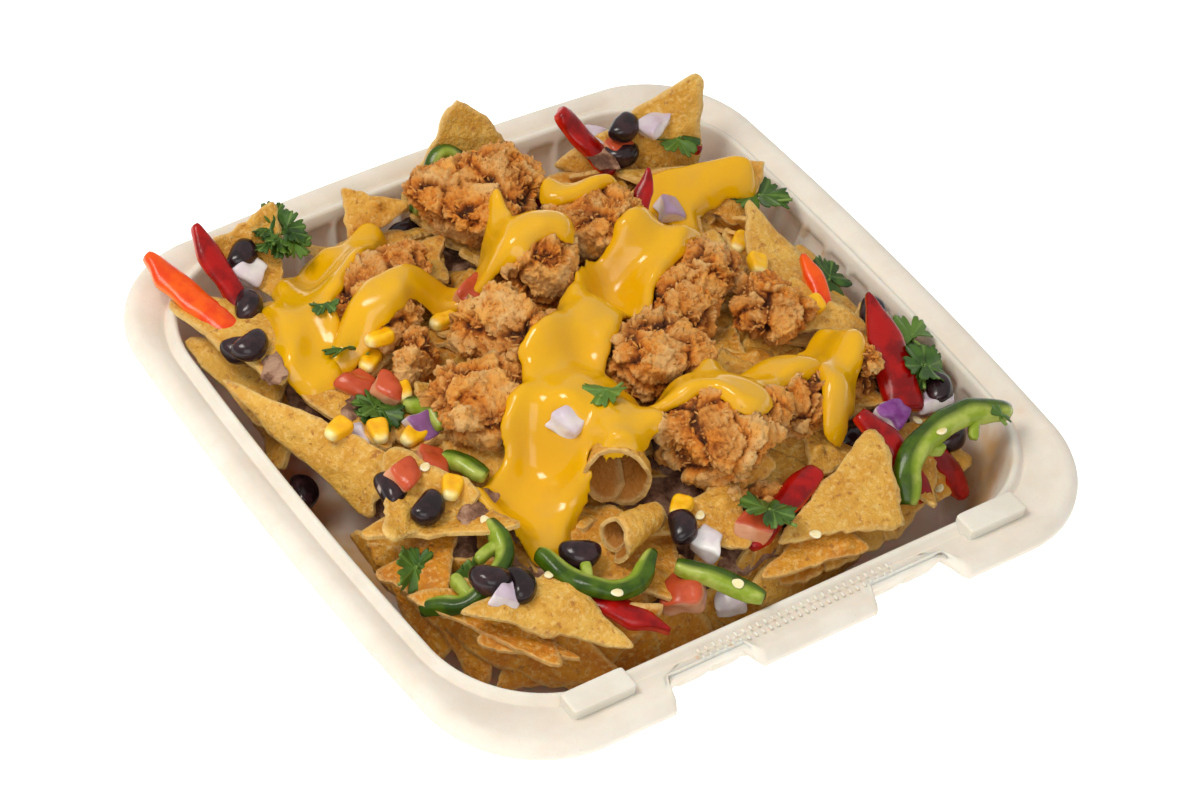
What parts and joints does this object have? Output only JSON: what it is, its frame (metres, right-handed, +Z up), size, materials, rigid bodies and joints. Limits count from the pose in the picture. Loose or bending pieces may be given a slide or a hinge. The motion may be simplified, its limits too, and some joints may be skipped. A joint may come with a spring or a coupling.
{
  "type": "loaded nachos in a takeaway tray",
  "caption": "Square moulded-fibre takeaway tray of tortilla chips heaped with chicken pieces, cheese sauce, pepper strips, jalapeno, tomato, onion, beans, corn and coriander.",
  "frame": {"origin": "on the surface the tray stands on, under the middle of its outline", "axes": "+Z up, -Y towards the tray's front edge with the closing tongue, +X to the right seen from that front"},
  "size_m": [0.2326, 0.2303, 0.0764],
  "materials": {
    "tray_fibre": "matt moulded plant fibre",
    "tortilla": "fried corn chip, dry and blistered",
    "chicken": "seasoned, crumbly and moist",
    "cheese_sauce": "glossy, thick",
    "pepper_red": "shiny skin",
    "pepper_orange": "shiny skin",
    "jalapeno": "shiny skin, pale flesh",
    "tomato": "wet flesh",
    "onion": "wet, slightly clear",
    "bean": "smooth, moist skin",
    "leaf": "soft leaf"
  },
  "bodies": {
    "root": {"tray": "tray_fibre", "chip_heap": "tortilla", "chicken_1": "chicken", "chicken_2": "chicken", "chicken_3": "chicken", "chicken_4": "chicken", "chicken_5": "chicken", "chicken_6": "chicken", "chicken_7": "chicken", "chicken_8": "chicken", "chicken_9": "chicken", "chicken_10": "chicken", "chicken_11": "chicken", "chicken_12": "chicken", "chicken_13": "chicken", "chicken_14": "chicken", "pepper_1": "pepper_orange", "pepper_2": "pepper_red", "pepper_3": "pepper_red", "pepper_4": "pepper_red", "pepper_5": "pepper_red", "pepper_6": "pepper_red", "pepper_7": "pepper_orange", "pepper_8": "pepper_red", "pepper_9": "pepper_red", "pepper_10": "pepper_red", "pepper_11": "pepper_red", "pepper_12": "pepper_red", "jalapeno_1": "jalapeno", "jalapeno_2": "jalapeno", "jalapeno_3": "jalapeno", "jalapeno_4": "jalapeno", "jalapeno_5": "jalapeno", "jalapeno_6": "jalapeno", "jalapeno_7": "jalapeno", "tomato_1": "tomato", "tomato_2": "tomato", "tomato_3": "tomato", "tomato_4": "tomato", "onion_1": "onion", "onion_2": "onion", "onion_3": "onion", "onion_4": "onion", "onion_5": "onion", "bean_1": "bean", "bean_2": "bean", "bean_3": "bean", "bean_4": "bean", "bean_5": "bean", "bean_6": "bean", "leaf_1": "leaf", "leaf_2": "leaf", "leaf_3": "leaf", "leaf_4": "leaf", "sauce_left": "cheese_sauce", "sauce_middle": "cheese_sauce", "sauce_back": "cheese_sauce", "sauce_main": "cheese_sauce", "sauce_right": "cheese_sauce", "sauce_drip": "cheese_sauce"}
  },
  "joints": []
}
